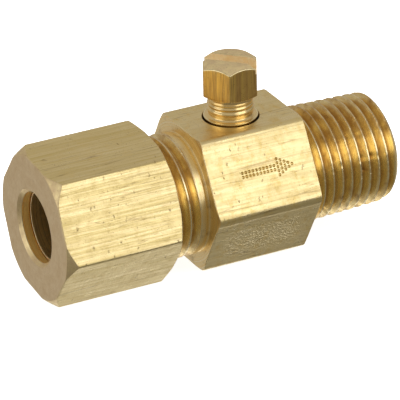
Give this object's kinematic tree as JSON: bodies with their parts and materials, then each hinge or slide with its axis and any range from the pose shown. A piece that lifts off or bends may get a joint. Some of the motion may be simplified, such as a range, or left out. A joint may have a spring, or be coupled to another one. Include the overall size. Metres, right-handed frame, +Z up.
{
  "type": "needle valve",
  "caption": "Small inline brass needle valve with a slotted screw in its side, a male taper pipe thread and a compression end for tube.",
  "frame": {"origin": "the body's bottom hexagon flat, straight under the axis of the adjusting screw", "axes": "+X along the gas way from the compression end to the pipe end, +Z up the adjusting screw; the gas way's axis is at z = 6.35 mm"},
  "size_m": [0.034, 0.0146, 0.0187],
  "materials": {
    "body_brass": "drawn bar flats and turned threads, uncoated",
    "screw_brass": "turned and milled, uncoated",
    "seal_rubber": "moulded, satin",
    "nut_brass": "drawn bar flats and turned faces, uncoated",
    "sleeve_brass": "fine turned"
  },
  "bodies": {
    "valve_body": {"valve_body": "body_brass"},
    "stem_seal": {"stem_seal_ring": "seal_rubber"},
    "adjusting_screw": {"adjusting_screw": "screw_brass"},
    "sleeve": {"compression_sleeve": "sleeve_brass"},
    "nut": {"compression_nut": "nut_brass"}
  },
  "joints": [
    {"name": "stem_travel", "type": "slide", "parent": "valve_body", "child": "stem_seal", "axis": [0, 0, 1], "range_m": [-0.00119, 0.0002]},
    {"name": "stem_turn", "type": "hinge", "parent": "stem_seal", "child": "adjusting_screw", "pos_m": [0, 0, 0.00635], "axis": [0, 0, 1], "range_deg": [-540.01, 90.01]},
    {"name": "nut_travel", "type": "slide", "parent": "valve_body", "child": "sleeve", "axis": [1, 0, 0], "range_m": [-0.0037, 0.00159]},
    {"name": "nut_turn", "type": "hinge", "parent": "sleeve", "child": "nut", "pos_m": [-0.0138, 0, 0.00635], "axis": [1, 0, 0], "range_deg": [-1260.01, 540.01]}
  ],
  "couplings": [
    {"joint": "stem_turn", "follows": "stem_travel", "rad_per_m": 7915.8},
    {"joint": "nut_turn", "follows": "nut_travel", "rad_per_m": 5936.9}
  ]
}
